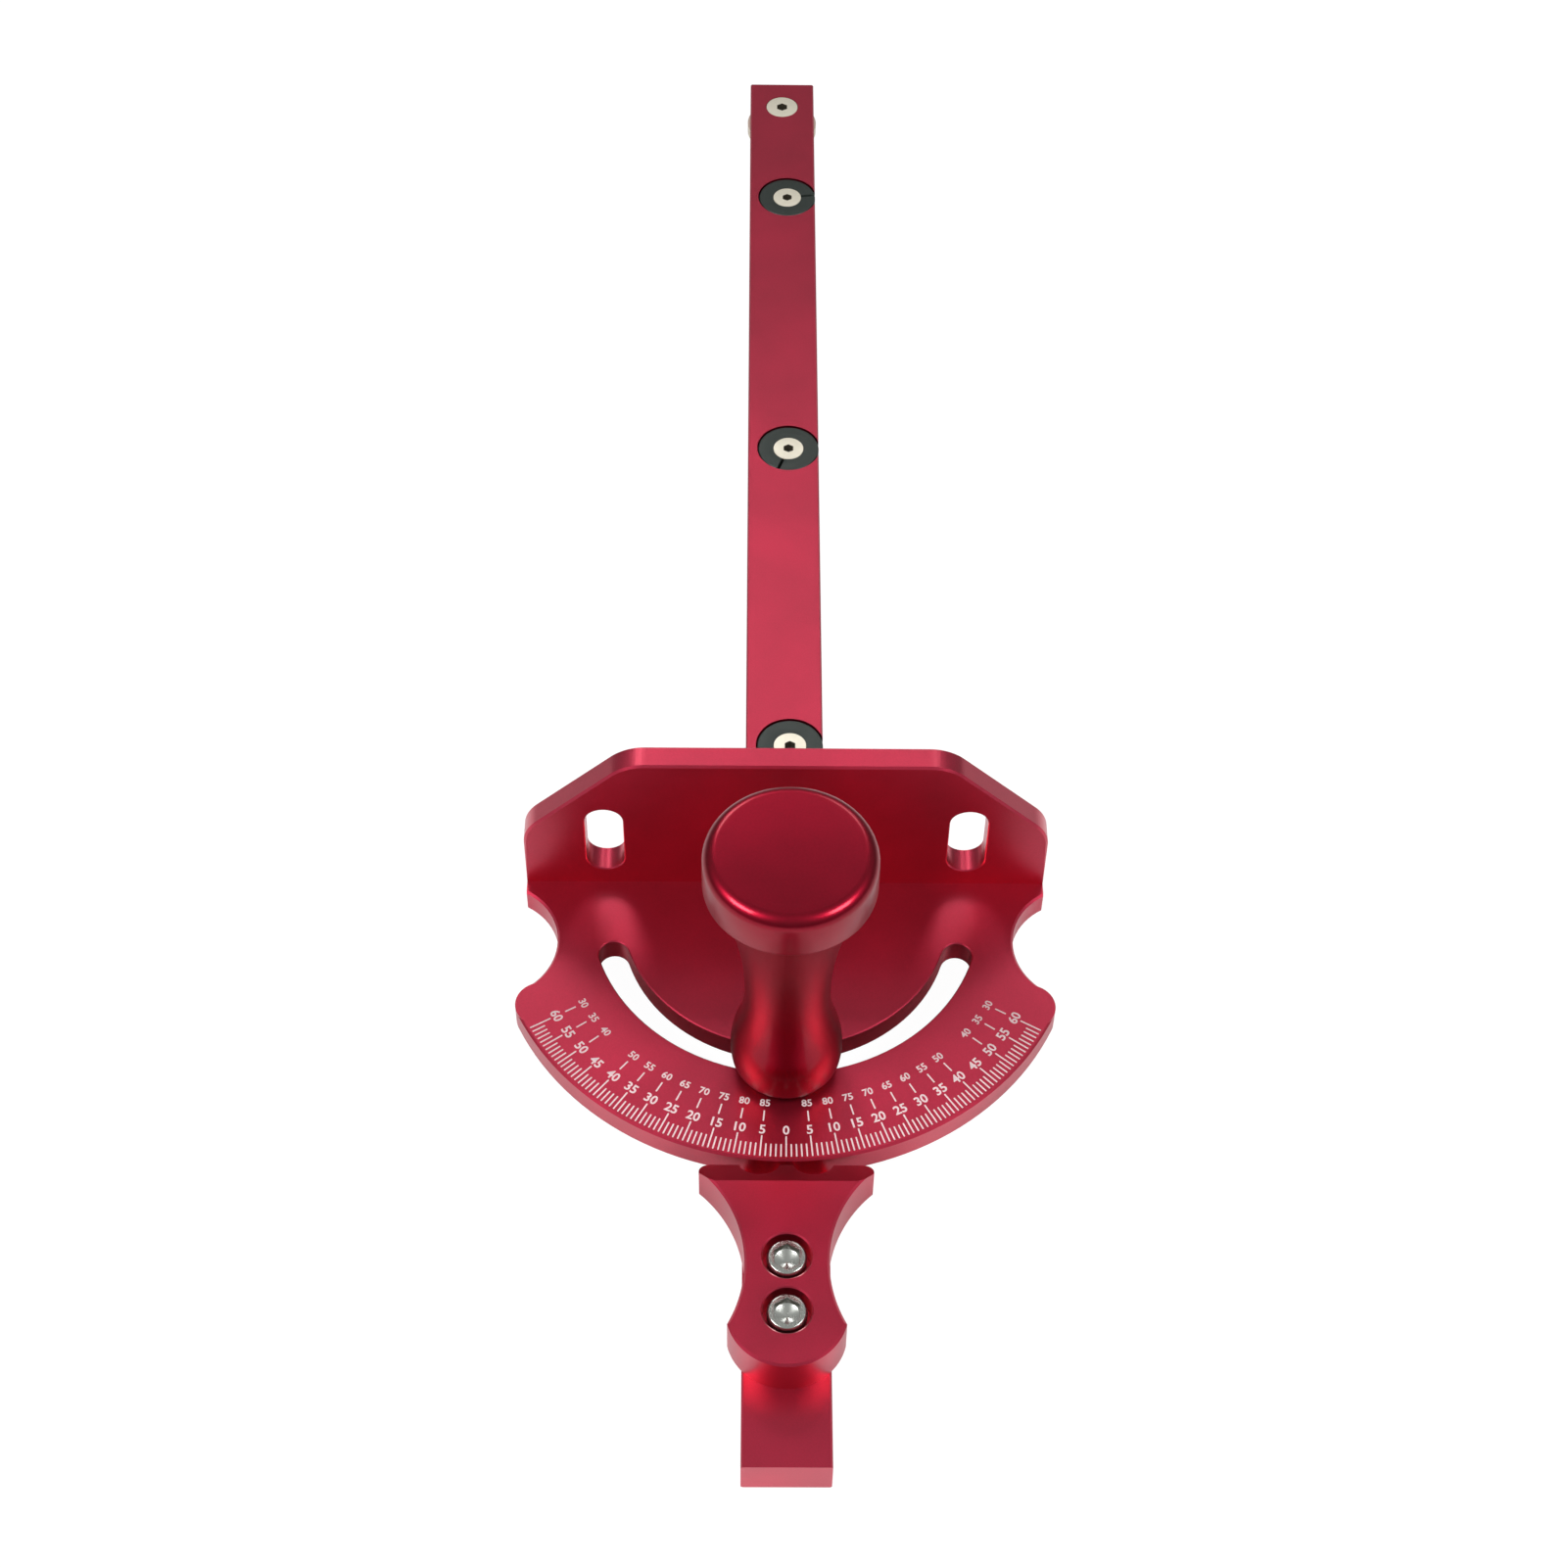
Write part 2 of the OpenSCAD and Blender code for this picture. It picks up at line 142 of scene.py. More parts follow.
# %% [markdown]
# The tool stands on a plain white sweep. Satin metal is only as good as what it
# mirrors, and every upright edge mirrors the floor: bright paper beside the tool
# gives the pale pink edges, and the shadow under the plate keeps the wall of the
# arc slot dark. The camera itself sees the paper burnt out to white, as on a
# catalogue page, so the shader mixes in a white glow for camera rays alone.

# %% Floor
FLOOR_WIDTH = 6.0
FLOOR_GAP = 0.2 * MM
BURNT_OUT = 0.92                         # share of the glow in what the camera sees
GLOW = 1.06
bpy.ops.mesh.primitive_plane_add(size=FLOOR_WIDTH, location=(0, 0, cad_low.z - FLOOR_GAP))
floor = bpy.context.object
floor.name = "floor"
paper, tree, shader = new_material("white_paper_sweep", Roughness=0.9)
shader.inputs["Base Color"].default_value = linear("#E8E8E8")
shader.inputs["Specular IOR Level"].default_value = 0.0
white = add_node(tree, "Emission", {"Color": linear("#FFFFFF"), "Strength": GLOW})
seen = add_node(tree, "LightPath").outputs["Is Camera Ray"]
share = add_node(tree, "Math", {1: BURNT_OUT}, {0: seen}, operation="MULTIPLY")
sweep = add_node(tree, "MixShader", links={0: share.outputs[0], 1: shader.outputs[0], 2: white.outputs[0]})
tree.links.new(sweep.outputs[0], tree.nodes["Material Output"].inputs["Surface"])
floor.data.materials.append(paper)
print("floor is", FLOOR_WIDTH, "m wide")

# %% [markdown]
# The room is dim near the horizon and brighter overhead. The flat tops mirror the
# upper part and come out a deep, even red. The lower part of the cap's rounded edge
# mirrors the horizon, which draws a dark line under its highlight. The camera
# itself sees the same burnt-out white above the sweep as on it.

# %% Room
HORIZON, CEILING = 0.12, 0.43
FULL_HEIGHT = 0.6                        # sine of the angle at which the ceiling starts
scene = bpy.context.scene
scene.view_settings.view_transform = "Standard"
world = bpy.data.worlds.new("dim_room")
scene.world = world
world.use_nodes = True
sky = world.node_tree.nodes["Background"]
sky.inputs["Color"].default_value = linear("#FFFFFF")
direction = add_node(world.node_tree, "TexCoord").outputs["Generated"]
height = add_node(world.node_tree, "SeparateXYZ", links={0: direction}).outputs["Z"]
shade = add_node(world.node_tree, "MapRange",
                 {"From Max": FULL_HEIGHT, "To Min": HORIZON, "To Max": CEILING}, {"Value": height})
seen = add_node(world.node_tree, "LightPath").outputs["Is Camera Ray"]
strength = add_node(world.node_tree, "Mix", {3: 1.0}, {0: seen, 2: shade.outputs[0]}, data_type="FLOAT")
world.node_tree.links.new(strength.outputs[0], sky.inputs["Strength"])
print("the room runs from", HORIZON, "at the horizon to", CEILING, "overhead")

# %% [markdown]
# Two soft boxes stand high at the front left and right, and each draws a long
# highlight on the cap's rounded edge. Two more stand behind the upright: their
# light comes through the fence slots and lies on the plate as two soft spots. The
# back boxes have a narrow beam that meets the head and leaves the bar's end dark.


# %% Soft boxes
AIM = Vector((0, -30, 50)) * MM          # halfway up the handle


def soft_box(name, direction, distance, along, size, radiance, spread=179):
    """A lamp that looks at the handle from a direction; its size is length by width, in metres."""
    lamp = bpy.data.lights.new(name, "AREA")
    lamp.shape = "RECTANGLE"
    lamp.size, lamp.size_y = size
    lamp.spread = math.radians(spread)
    half = lamp.spread / 2
    # the same power in a narrow beam is brighter ahead, so the power is cut to suit
    lamp.energy = radiance * math.pi * lamp.size * lamp.size_y * (1 - half / math.tan(half))
    holder = bpy.data.objects.new(name, lamp)
    scene.collection.objects.link(holder)
    away = Vector(direction).normalized()
    across = away.cross(Vector(along)).normalized()
    turn = Matrix((across.cross(away), across, away)).transposed().to_4x4()
    holder.matrix_world = Matrix.Translation(AIM + away * distance) @ turn
    holder.visible_camera = False
    print(name, "gives", round(lamp.energy, 2), "W")


FRONT_DISTANCE, BACK_DISTANCE = 1.1, 0.9
BACK_SIZE, BACK_BEAM = (0.2, 0.24), 30
soft_box("left_box", (-0.63, -0.26, 0.735), FRONT_DISTANCE, (-0.67, 0.65, -0.27), (0.42, 0.36), 20)
soft_box("right_box", (0.63, -0.26, 0.735), FRONT_DISTANCE, (0.67, 0.65, -0.27), (0.38, 0.36), 18)
soft_box("back_left_box", (-0.22, 0.75, 0.62), BACK_DISTANCE, (1, 0, 0), BACK_SIZE, 13, BACK_BEAM)
soft_box("back_right_box", (0.22, 0.75, 0.62), BACK_DISTANCE, (1, 0, 0), BACK_SIZE, 8, BACK_BEAM)

# %% [markdown]
# Anodised aluminium keeps the metal's own mirror under a clear, hard oxide film a
# hundredth of a millimetre thick, and the red dye sits inside that film. So the
# shader is a metal with a red base, and a clear coat with the index of alumina
# adds the white sheen. The faces were blasted with glass beads before the bath,
# which gives a fine even grain and a broad, soft highlight. The beads leave pits
# about 0.1 mm wide; they are drawn at 0.35 mm here so that the grain shows. The
# handle's satin is smoother: its grain is shallower, and its coat is thinner and
# less rough.

# %% Red anodised aluminium
ALUMINA_IOR = 1.65
PATCH_MM = 25                            # slow change of the dye over a face


def shades(colour, darker, lighter):
    """A darker and a lighter version of a colour, for the two ends of a pattern."""
    return [[min(1, c * share) for c in linear(colour)[:3]] + [1] for share in (darker, lighter)]


def anodised(name, colour, roughness, grain_mm, grain_depth, coat, coat_roughness):
    """Dyed aluminium: grain_mm is the pit spacing, grain_depth the pits' depth in metres."""
    material, tree, shader = new_material(name, Metallic=1.0, Coat_Weight=coat, Coat_IOR=ALUMINA_IOR,
                                          Coat_Roughness=coat_roughness)
    where = add_node(tree, "TexCoord").outputs["Object"]
    patches = add_node(tree, "TexNoise", {"Scale": repeats(PATCH_MM), "Detail": 3}, {"Vector": where})
    grain = add_node(tree, "TexNoise", {"Scale": repeats(grain_mm), "Detail": 2}, {"Vector": where})
    half_grain = add_node(tree, "Math", {1: 0.5}, {0: grain.outputs["Fac"]}, operation="MULTIPLY")
    fine = half_grain.outputs[0]
    both = add_node(tree, "Math", links={0: patches.outputs["Fac"], 1: fine}, operation="ADD")
    tone = add_node(tree, "MapRange", {"From Min": 0.5, "From Max": 1.0}, {"Value": both.outputs[0]})
    dark, light = shades(colour, 0.86, 1.14)
    mix = add_node(tree, "Mix", {6: dark, 7: light}, {0: tone.outputs[0]}, data_type="RGBA")
    gloss = add_node(tree, "MapRange", {"To Min": roughness - 0.03, "To Max": roughness + 0.03},
                     {"Value": patches.outputs["Fac"]})
    bump = add_node(tree, "Bump", {"Strength": 0.5, "Distance": grain_depth},
                    {"Height": grain.outputs["Fac"]})
    tree.links.new(mix.outputs[2], shader.inputs["Base Color"])
    tree.links.new(gloss.outputs[0], shader.inputs["Roughness"])
    tree.links.new(bump.outputs[0], shader.inputs["Normal"])
    print(name, "has", len(tree.nodes), "nodes")
    return material


blasted_red = anodised("bead_blasted_red_anodising", "#B81F3F", 0.38, 0.35, 0.02 * MM, 0.5, 0.3)
turned_red = anodised("turned_red_anodising", "#860A22", 0.36, 0.5, 0.006 * MM, 0.16, 0.15)

# %% [markdown]
# The cap screws are polished steel. The countersunk ones are plated with nickel,
# a little yellow and frosted by the bath, so part of their light comes back
# diffuse and they look like ivory from every side. The pivot bush is bronze. Fine
# scratches change the gloss of all three from place to place.


# %% Steel, nickel and bronze
def bright_metal(name, colour, roughness, scratch_mm, metallic=1.0):
    """Metal with faint, fine scratches; a metallic below 1 is a frosted plating."""
    material, tree, shader = new_material(name, Metallic=metallic)
    shader.inputs["Base Color"].default_value = linear(colour)
    where = add_node(tree, "TexCoord").outputs["Object"]
    marks = add_node(tree, "TexNoise", {"Scale": repeats(scratch_mm), "Detail": 4}, {"Vector": where})
    gloss = add_node(tree, "MapRange", {"To Min": roughness * 0.6, "To Max": roughness * 1.4},
                     {"Value": marks.outputs["Fac"]})
    bump = add_node(tree, "Bump", {"Strength": 0.2, "Distance": 0.01 * MM},
                    {"Height": marks.outputs["Fac"]})
    tree.links.new(gloss.outputs[0], shader.inputs["Roughness"])
    tree.links.new(bump.outputs[0], shader.inputs["Normal"])
    print(name, "has scratches", scratch_mm, "mm apart")
    return material


polished_steel = bright_metal("polished_steel", "#BEC1BB", 0.24, 0.6)
nickel = bright_metal("frosted_nickel_plate", "#DDD7C5", 0.42, 0.5, metallic=0.5)
bronze = bright_metal("turned_bronze", "#B0803C", 0.3, 0.5)

# %% [markdown]
# The washers are moulded from nylon with glass fibre, nearly black with a touch of
# green, and as dull as a moulding leaves them. The scale is burnt through the dye
# by a laser, so its lines are bare oxide: matt and pale. A dark, dull film is
# painted shade in the screws' sockets: it darkens them as their depth would. All
# three are dielectrics with a fine, uneven skin, so one function makes them.


# %% Nylon, bare oxide and painted socket shade
def dull(name, colour, roughness, grain_mm):
    """Dull material with a fine moulded or etched skin."""
    material, tree, shader = new_material(name)
    where = add_node(tree, "TexCoord").outputs["Object"]
    grain = add_node(tree, "TexNoise", {"Scale": repeats(grain_mm), "Detail": 3}, {"Vector": where})
    dark, light = shades(colour, 0.8, 1.25)
    mix = add_node(tree, "Mix", {6: dark, 7: light}, {0: grain.outputs["Fac"]}, data_type="RGBA")
    gloss = add_node(tree, "MapRange", {"To Min": roughness - 0.08, "To Max": roughness + 0.08},
                     {"Value": grain.outputs["Fac"]})
    bump = add_node(tree, "Bump", {"Strength": 0.3, "Distance": 0.03 * MM},
                    {"Height": grain.outputs["Fac"]})
    tree.links.new(mix.outputs[2], shader.inputs["Base Color"])
    tree.links.new(gloss.outputs[0], shader.inputs["Roughness"])
    tree.links.new(bump.outputs[0], shader.inputs["Normal"])
    print(name, "has a grain of", grain_mm, "mm")
    return material


nylon = dull("glass_filled_nylon", "#1E2622", 0.5, 0.4)
bare_oxide = dull("bare_oxide_engraving", "#C8B2B4", 0.6, 0.3)
# painted shade: a dark, dull film that darkens the screws' sockets as their depth would
socket_shade_paint = dull("painted_socket_shade", "#3A362B", 0.4, 0.3)

# %% [markdown]
# The bar, the head and the index block are milled parts whose CAD shape is already
# the finished one, with its broken edges. They stay as they are and only take a
# finish, and so do the stud, the plain washers and the hidden parts of the pivot.
# The record says which material each part is made of.

# %% Finishes on the CAD nodes
FINISHES = {"anodised_red": blasted_red, "polished_steel": polished_steel, "nickel_plate": nickel,
            "bronze": bronze, "dark_nylon": nylon}
for part in frame["record"]["subparts"]:
    for material_slot in frame["nodes"][part["node"]].material_slots:
        material_slot.material = FINISHES[part["material_slot"]]
print(len(frame["nodes"]), "CAD nodes have a finish")

# %% [markdown]
# Each new piece ends in the same way. Its place is moved into its mesh, its flat
# faces stay flat and its curved ones turn smooth, and it is told which moving body
# it rides on. A piece that stands in for a CAD node also hides that node.


# %% Helpers for every piece
SMOOTH_BELOW = math.radians(32)          # a sharper crease than this stays a crease


def deselect():
    """Leaves edit mode and clears the selection."""
    if bpy.context.object and bpy.context.object.mode == "EDIT":
        bpy.ops.object.mode_set(mode="OBJECT")
    bpy.ops.object.select_all(action="DESELECT")


def pick(piece):
    """Makes the piece the only one selected."""
    deselect()
    bpy.context.view_layer.objects.active = piece
    piece.select_set(True)


def finish_piece(piece, name, body, material, node=None):
    """Shades and names a piece and lets it ride on a body; node is the CAD node it replaces."""
    pick(piece)
    bpy.ops.object.transform_apply(location=True, rotation=True, scale=True)
    bpy.ops.object.shade_smooth_by_angle(angle=SMOOTH_BELOW)
    piece.name = piece.data.name = name
    piece.data.materials.clear()
    piece.data.materials.append(material)
    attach(piece, body)
    if node:
        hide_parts(node)
    print(name, "has", len(piece.data.polygons), "faces and rides on", body)


def copy_of(piece, offset):
    """A second piece like the first, with its own mesh, moved by offset."""
    twin = bpy.data.objects.new(piece.name + "_copy", piece.data.copy())
    twin.data.transform(Matrix.Translation(offset))
    scene.collection.objects.link(twin)
    return twin


print("creases under", round(math.degrees(SMOOTH_BELOW)), "degrees are smoothed")

# %% [markdown]
# Most of this tool's small parts come off a lathe. A turned solid could be a spun
# profile, but a stack of rings needs no seam to be merged afterwards: it starts as
# a disc, and each ring is pulled up from the last and resized to its own radius.


# %% Turning
def turn_up(centre, outline, segments):
    """A turned solid; outline lists radius and height from the foot to the top."""
    deselect()
    (radius, height), *rest = outline
    bpy.ops.mesh.primitive_circle_add(vertices=segments, radius=radius, fill_type="NGON",
                                      location=(*centre, height))
    piece = bpy.context.object
    bpy.ops.object.mode_set(mode="EDIT")
    bpy.ops.mesh.select_all(action="SELECT")
    for next_radius, next_height in rest:
        bpy.ops.mesh.extrude_region_move(TRANSFORM_OT_translate={"value": (0, 0, next_height - height)})
        bpy.ops.transform.resize(value=(next_radius / radius, next_radius / radius, 1))
        radius, height = next_radius, next_height
    bpy.ops.mesh.select_all(action="SELECT")
    bpy.ops.mesh.normals_make_consistent(inside=False)
    bpy.ops.object.mode_set(mode="OBJECT")
    bpy.ops.object.transform_apply(location=True, rotation=True, scale=True)
    return piece


FINE, MEDIUM, COARSE = 96, 64, 48        # sides of turned pieces, from large to small
print("turned pieces have", FINE, "to", COARSE, "sides")

# %% [markdown]
# Holes and sockets are cut with a boolean, which keeps the shape closed. The sharp
# edges of the screws and washers get a narrow bevel, because a real edge is never
# sharp and its bright line is what shows the eye where one face ends.


# %% Cutting and easing
SHARP = math.radians(35)


def apply_modifier(piece, kind, **settings):
    """Adds one modifier to a piece, sets it and applies it."""
    modifier = piece.modifiers.new(kind.lower(), kind)
    for name, value in settings.items():
        setattr(modifier, name, value)
    pick(piece)
    bpy.ops.object.modifier_apply(modifier=modifier.name)


def cut(piece, cutter):
    """Takes the cutter's shape out of the piece and throws the cutter away."""
    before = len(piece.data.polygons)
    apply_modifier(piece, "BOOLEAN", operation="DIFFERENCE", solver="EXACT", object=cutter)
    bpy.data.objects.remove(cutter)
    print("cut from", before, "to", len(piece.data.polygons), "faces")


def ease_edges(piece, width):
    """Small rounded bevel on every sharp edge."""
    apply_modifier(piece, "BEVEL", width=width, segments=2, limit_method="ANGLE",
                   angle_limit=SHARP, harden_normals=False)


print("edges over", round(math.degrees(SHARP)), "degrees are eased")

# %% [markdown]
# The handle is turned from one bar of aluminium: a rounded foot, a bulb that fills
# the palm, a long waist and a broad cap. The CAD handle gives the radius at each
# height, and the lathe above makes one smooth skin of it. A bore in the foot takes
# the lock stud.


# %% Handle
FLAT_STEP = 0.5 * MM                     # a ring wider than this is a step, as under the cap


def rings_of(node, axis, smallest):
    """Radius and height of each ring of a turned CAD node, from its foot to its top."""
    rings = {}
    for vertex in frame["nodes"][node].data.vertices:
        radius = math.hypot(vertex.co.x - axis[0], vertex.co.y - axis[1])
        if radius > smallest:
            rings.setdefault(round(vertex.co.z, 5), []).append(radius)
    outline = []
    for height in sorted(rings):
        low, high = min(rings[height]), max(rings[height])
        outline.append((high, height))
        if high - low > FLAT_STEP and outline[0][1] != height:
            outline[-1:] = [(low, height), (high, height)]
    return outline


stud_low, stud_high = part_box("lock_stud")
stud = ((stud_low + stud_high) / 2)[:2]
stud_radius = (stud_high.x - stud_low.x) / 2
handle_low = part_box("handle")[0]
outline = rings_of("handle", stud, stud_radius + MM)
print("handle outline has", len(outline), "rings")
handle = turn_up(stud, outline, FINE)
bore = turn_up(stud, [(stud_radius, handle_low.z - MM), (stud_radius, stud_high.z)], COARSE)
cut(handle, bore)
finish_piece(handle, "turned_handle", "handle", turned_red, "handle")

# %% [markdown]
# A hexagon socket starts as a drilled hole with a round, blunt cone at its floor.
# Then a six-sided broach is pushed in and leaves the corners. The two cutters here
# do the same, and the cone is the bright spot that one sees in a new screw. The rest
# of a socket looks nearly black from its depth. A dark film paints that shade on, so
# a screw carries two materials, and each face keeps the number of its own: the walls
# of the cap screws' sockets take the painted shade, and in the countersunk screws the
# floor does too.


# %% Hexagon sockets
DRILL_GAP = 0.02 * MM                    # the drill is a touch smaller than the broach
DRILL_DEEPER = 0.05 * MM
CONE_SLOPE = 0.4
BLUNT = 0.1                              # the cone's tip is this share of the drill
REACH = 0.6                              # the corners lie 0.58 of the width from the middle
UNDER_RIM = 0.1 * MM                     # faces above this belong to the head's top
DEEPEST = 2                              # no socket is deeper than twice its width


def cut_socket(piece, centre, top, across_flats, depth):
    """Six-sided socket over a drilled cone."""
    corner = across_flats / math.sqrt(3)
    drill = across_flats / 2 - DRILL_GAP
    foot = top - depth - DRILL_DEEPER
    tip = (BLUNT * drill, foot - CONE_SLOPE * drill)
    cut(piece, turn_up(centre, [(corner, top - depth), (corner, top + depth)], 6))
    cut(piece, turn_up(centre, [tip, (drill, foot), (drill, top)], COARSE))


def oil_socket(piece, node, across_flats, flattest=1.0):
    """Paints shade on the faces in a socket that are no flatter than flattest; a wall is 0 and a floor 1.
    """
    low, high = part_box(node)
    middle = ((low + high) / 2).xy
    # the second material is painted shade for the depth of the socket
    piece.data.materials.append(socket_shade_paint)
    for face in piece.data.polygons:
        away = (face.center.xy - middle).length
        below = high.z - face.center.z
        if away < REACH * across_flats and UNDER_RIM < below < DEEPEST * across_flats:
            face.material_index = int(abs(face.normal.z) <= flattest)
    shade_painted = sum(face.material_index for face in piece.data.polygons)
    print(piece.name, "has", shade_painted, "oiled faces")


# %% [markdown]
# The index block is held by two socket cap screws with their heads in counterbores.
# One is turned and broached, and the other is a copy of it.

# %% Socket cap screws
front_low, front_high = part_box("index_screw_front")
rear_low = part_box("index_screw_rear")[0]
head_radius = (front_high.x - front_low.x) / 2
SHANK, HEAD_HEIGHT = 2.5 * MM, 5 * MM
KEY, KEY_DEPTH = 5.4 * MM, 1.5 * MM
POINT, POINT_HEIGHT = 0.3 * MM, 0.4 * MM
RIM_WIDTH, RIM_HEIGHT, HEAD_EASE = 0.45 * MM, 0.55 * MM, 0.1 * MM
HEAD_SIDES = 72
WALLS_ONLY = 0.3                         # the cone stays bright
foot, top = front_low.z, front_high.z
seat = top - HEAD_HEIGHT
centre = ((front_low + front_high) / 2)[:2]
cap_screw = turn_up(centre, [(SHANK - POINT, foot), (SHANK, foot + POINT_HEIGHT), (SHANK, seat),
                             (head_radius, seat), (head_radius, top - RIM_HEIGHT),
                             (head_radius - RIM_WIDTH, top)], HEAD_SIDES)
ease_edges(cap_screw, HEAD_EASE)
cut_socket(cap_screw, centre, top, KEY, KEY_DEPTH)
rear_screw = copy_of(cap_screw, rear_low - front_low)
finish_piece(cap_screw, "cap_screw_front", "bar", polished_steel, "index_screw_front")
finish_piece(rear_screw, "cap_screw_rear", "bar", polished_steel, "index_screw_rear")
oil_socket(cap_screw, "index_screw_front", KEY, WALLS_ONLY)
oil_socket(rear_screw, "index_screw_rear", KEY, WALLS_ONLY)

# %% [markdown]
# The split washers take up the play of the bar in the table's slot. Each has a
# countersunk hole, and the countersunk screw in it spreads the washer when it is
# driven in. A larger screw of the same kind holds the round washer under the far
# end of the bar.


# %% Countersunk screws
BRIM, BROKEN_EDGE, SCREW_EASE = 0.25 * MM, 0.08 * MM, 0.06 * MM
SOCKET_DEPTH = 2 * MM


def countersunk_screw(node, shank, key):
    """Flat-headed socket screw at the place of a CAD node."""
    low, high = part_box(node)
    radius = (high.x - low.x) / 2
    middle = ((low + high) / 2)[:2]
    brim = high.z - BRIM
    piece = turn_up(middle, [(shank - POINT, low.z), (shank, low.z + POINT),
                             (shank, brim - (radius - shank)), (radius, brim),
                             (radius, high.z - BROKEN_EDGE), (radius - BROKEN_EDGE, high.z)], MEDIUM)
    ease_edges(piece, SCREW_EASE)
    cut_socket(piece, middle, high.z, key, SOCKET_DEPTH)
    return piece


PLACES = ("near", "middle", "far")
ADJUSTER_SHANK, ADJUSTER_KEY = 2 * MM, 2.6 * MM
END_SHANK, END_KEY = 2.5 * MM, 3 * MM
near_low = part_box("adjust_screw_near")[0]
adjuster = countersunk_screw("adjust_screw_near", ADJUSTER_SHANK, ADJUSTER_KEY)
for place in PLACES:
    node = "adjust_screw_" + place
    screw = copy_of(adjuster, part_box(node)[0] - near_low)
    finish_piece(screw, "washer_screw_" + place, "adjuster_" + place, nickel, node)
    oil_socket(screw, node, ADJUSTER_KEY)
bpy.data.objects.remove(adjuster)
end_screw = countersunk_screw("t_slot_screw", END_SHANK, END_KEY)
finish_piece(end_screw, "end_screw", "bar", nickel, "t_slot_screw")
oil_socket(end_screw, "t_slot_screw", END_KEY)

# %% [markdown]
# All three washers are one moulding: a disc with eased rims and a countersunk hole.
# It is turned once, and the cone of the hole is cut with a turned cutter.

# %% Washer blank
RIM, HOLE, MOUTH, MOUTH_DEPTH = 0.3 * MM, 2.15 * MM, 4.15 * MM, 0.35 * MM
blank_low, blank_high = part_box("expansion_washer_near")
washer_radius = (blank_high.y - blank_low.y) / 2
washer_middle = Vector((blank_low.x + washer_radius, (blank_low.y + blank_high.y) / 2, 0))
bottom, top = blank_low.z, blank_high.z
mouth_foot = top - MOUTH_DEPTH
blank = turn_up(washer_middle[:2], [(washer_radius - RIM, bottom), (washer_radius, bottom + RIM),
                                    (washer_radius, top - RIM), (washer_radius - RIM, top)], FINE)
cut(blank, turn_up(washer_middle[:2], [(HOLE, bottom - MM), (HOLE, mouth_foot - (MOUTH - HOLE)),
                                       (MOUTH, mouth_foot), (MOUTH, top + MM)], MEDIUM))

# %% [markdown]
# Each washer is sawn through on one side, so that it can spread. The split points
# another way in each, as loose washers end up when the screws are set.

# %% Split washers
SPLIT_WIDTH, WASHER_EASE = 0.8 * MM, 0.08 * MM
SPLIT_AT = {"near": -60, "middle": -110, "far": 8}      # degrees from the working side
for place, degrees in SPLIT_AT.items():
    node = "expansion_washer_" + place
    washer = copy_of(blank, (0, 0, 0))
    deselect()
    bpy.ops.mesh.primitive_cube_add(size=1, location=(washer_radius, 0, (bottom + top) / 2),
                                    scale=(2 * washer_radius, SPLIT_WIDTH, 2 * (top - bottom)))
    saw = bpy.context.object
    bpy.ops.object.transform_apply(location=True, rotation=True, scale=True)
    saw.data.transform(Matrix.Translation(washer_middle) @ Matrix.Rotation(math.radians(degrees), 4, "Z"))
    cut(washer, saw)
    ease_edges(washer, WASHER_EASE)
    washer.data.transform(Matrix.Translation((0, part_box(node)[0].y - blank_low.y, 0)))
    finish_piece(washer, "split_washer_" + place, "bar", nylon, node)
bpy.data.objects.remove(blank)

# %% [markdown]
# The scale is cut into the plate by a laser after dyeing: a line for each degree,
# a longer one at every fifth, and an inner row that counts the other way. The inner
# row leaves out 45 degrees, where both rows would say the same. Each line is a thin
# slip of bare oxide that stands a hundredth of a millimetre proud, so that it never
# flickers against the plate. One slip is made for each length, its corners are
# rounded, and it is copied round the pivot.

# %% Degree lines
SLIDING_GAP = 0.05 * MM
plate_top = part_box("clamp_washer")[0].z - SLIDING_GAP
rim_radius = -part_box("head")[0].y
LINE_WIDTH, PROUD, SUNK = 0.34 * MM, 0.012 * MM, 0.03 * MM
CORNER = 0.3 * LINE_WIDTH
LINES_FROM = rim_radius - 0.9 * MM
SHORT_LINE = (LINES_FROM, rim_radius - 4.1 * MM)
LONG_LINE = (LINES_FROM, rim_radius - 6.1 * MM)
INNER_LINE = (rim_radius - 9.8 * MM, rim_radius - 12.5 * MM)
LAST_DEGREE, STEP, LEFT_OUT = 60, 5, 45
INNER_DEGREES = [a for a in range(STEP, LAST_DEGREE + 1, STEP) if a != LEFT_OUT]


def line_slip(outer, inner):
    """One line that points from the rim to the pivot."""
    deselect()
    bpy.ops.mesh.primitive_cube_add(size=1, scale=(LINE_WIDTH, outer - inner, PROUD + SUNK),
                                    location=(0, -(outer + inner) / 2, plate_top + (PROUD - SUNK) / 2))
    slip = bpy.context.object
    bpy.ops.object.transform_apply(location=True, rotation=True, scale=True)
    bpy.ops.object.mode_set(mode="EDIT")
    bpy.ops.mesh.select_mode(type="EDGE")
    bpy.ops.mesh.select_all(action="DESELECT")
    bpy.ops.object.mode_set(mode="OBJECT")
    for edge in slip.data.edges:
        a, b = (slip.data.vertices[i].co for i in edge.vertices)
        edge.select = abs(a.z - b.z) > PROUD
    bpy.ops.object.mode_set(mode="EDIT")
    bpy.ops.mesh.bevel(offset=CORNER, segments=2)
    bpy.ops.object.mode_set(mode="OBJECT")
    return slip


def turned_copy(piece, degrees):
    """A copy turned about the pivot."""
    twin = copy_of(piece, (0, 0, 0))
    twin.data.transform(Matrix.Rotation(math.radians(degrees), 4, "Z"))
    return twin


def gather(copies, name):
    """Joins slips into one piece that rides on the head."""
    pick(copies[0])
    for item in copies:
        item.select_set(True)
    bpy.ops.object.join()
    finish_piece(copies[0], name, "head", bare_oxide)


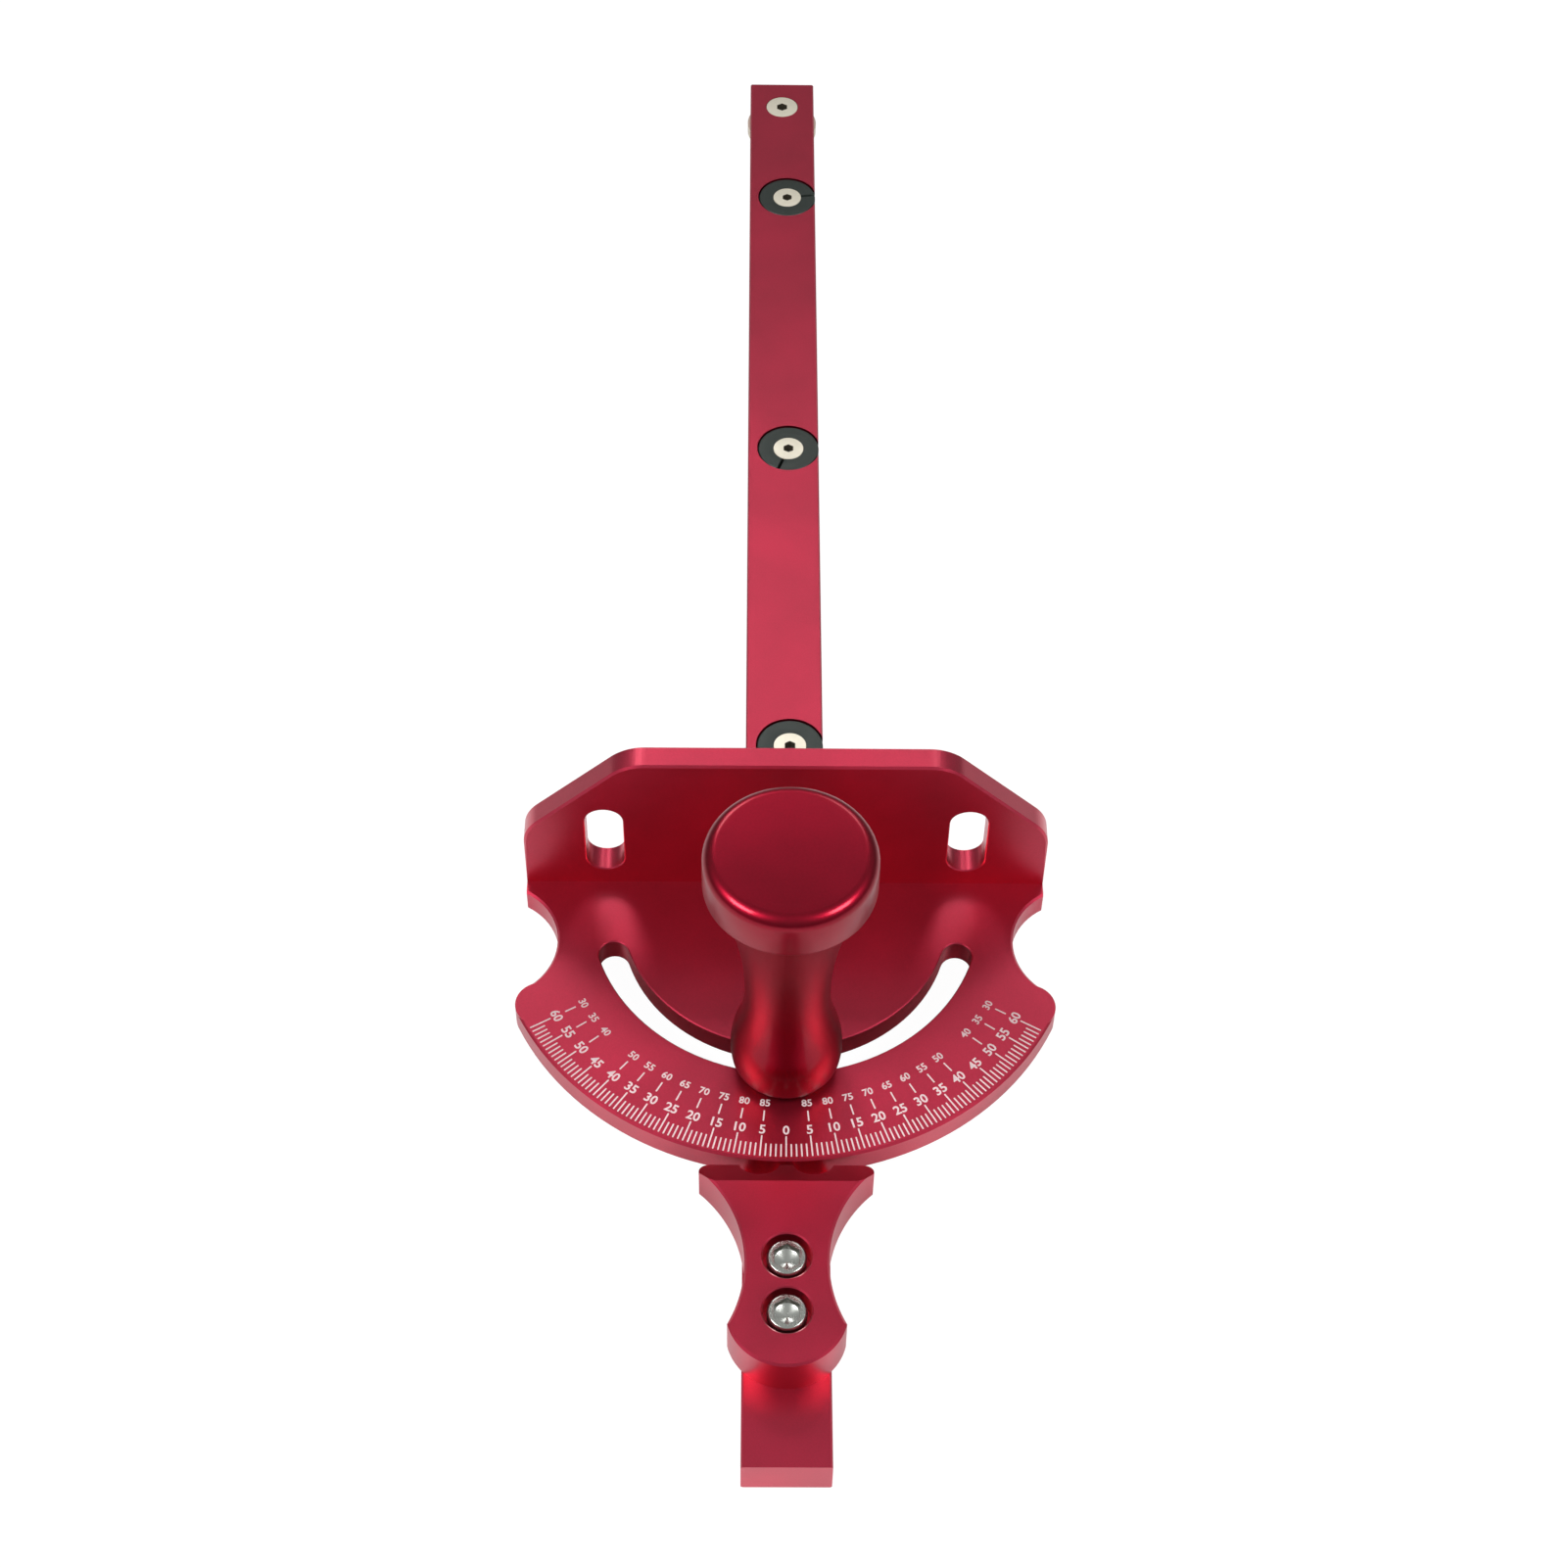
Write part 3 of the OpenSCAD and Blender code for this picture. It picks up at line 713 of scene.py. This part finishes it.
short, long, inner = line_slip(*SHORT_LINE), line_slip(*LONG_LINE), line_slip(*INNER_LINE)
lines = [turned_copy(short if a % STEP else long, a) for a in range(-LAST_DEGREE, LAST_DEGREE + 1)]
lines += [turned_copy(inner, side * a) for a in INNER_DEGREES for side in (-1, 1)]
for pattern in (short, long, inner):
    bpy.data.objects.remove(pattern)
print(len(lines), "lines")
gather(lines, "degree_lines")

# %% [markdown]
# The numbers are plain digits. The outer ones count from the square position, and
# the inner ones count the other way, from ninety. Blender's text makes the shapes:
# it is turned into a mesh, scaled to its height in millimetres, and stood with its
# foot towards the rim.

# %% Numerals
OUTER_BASE, OUTER_HEIGHT = rim_radius - 6.5 * MM, 2.3 * MM
INNER_BASE, INNER_HEIGHT = rim_radius - 13.6 * MM, 1.8 * MM
BOLDER, EXTRUDE = 0.02, 0.05             # in the units of the type, before it is scaled


def numeral(text, height, base_radius, degrees):
    """A number whose foot stands on base_radius and whose top points to the pivot."""
    deselect()
    bpy.ops.object.text_add()
    letters = bpy.context.object.data
    letters.body = text
    letters.align_x = "CENTER"
    letters.offset = BOLDER
    letters.resolution_u = 3
    letters.extrude = EXTRUDE
    bpy.ops.object.convert(target="MESH")
    piece = bpy.context.object
    piece.data.transform(Matrix.Translation((0, -min(v.co.y for v in piece.data.vertices), 0)))
    scale = height / max(v.co.y for v in piece.data.vertices)
    thickness = (PROUD + SUNK) / (2 * EXTRUDE)
    piece.data.transform(Matrix.Diagonal((scale, scale, thickness, 1)))
    piece.data.transform(Matrix.Translation((0, -base_radius, plate_top + (PROUD - SUNK) / 2)))
    piece.data.transform(Matrix.Rotation(math.radians(degrees), 4, "Z"))
    return piece


OUTER_DEGREES = range(-LAST_DEGREE, LAST_DEGREE + 1, STEP)
BOTH_SIDES = [side * a for a in INNER_DEGREES for side in (-1, 1)]
numerals = [numeral(str(abs(a)), OUTER_HEIGHT, OUTER_BASE, a) for a in OUTER_DEGREES]
numerals += [numeral(str(90 - abs(a)), INNER_HEIGHT, INNER_BASE, a) for a in BOTH_SIDES]
print(len(numerals), "numbers")
gather(numerals, "degree_numbers")
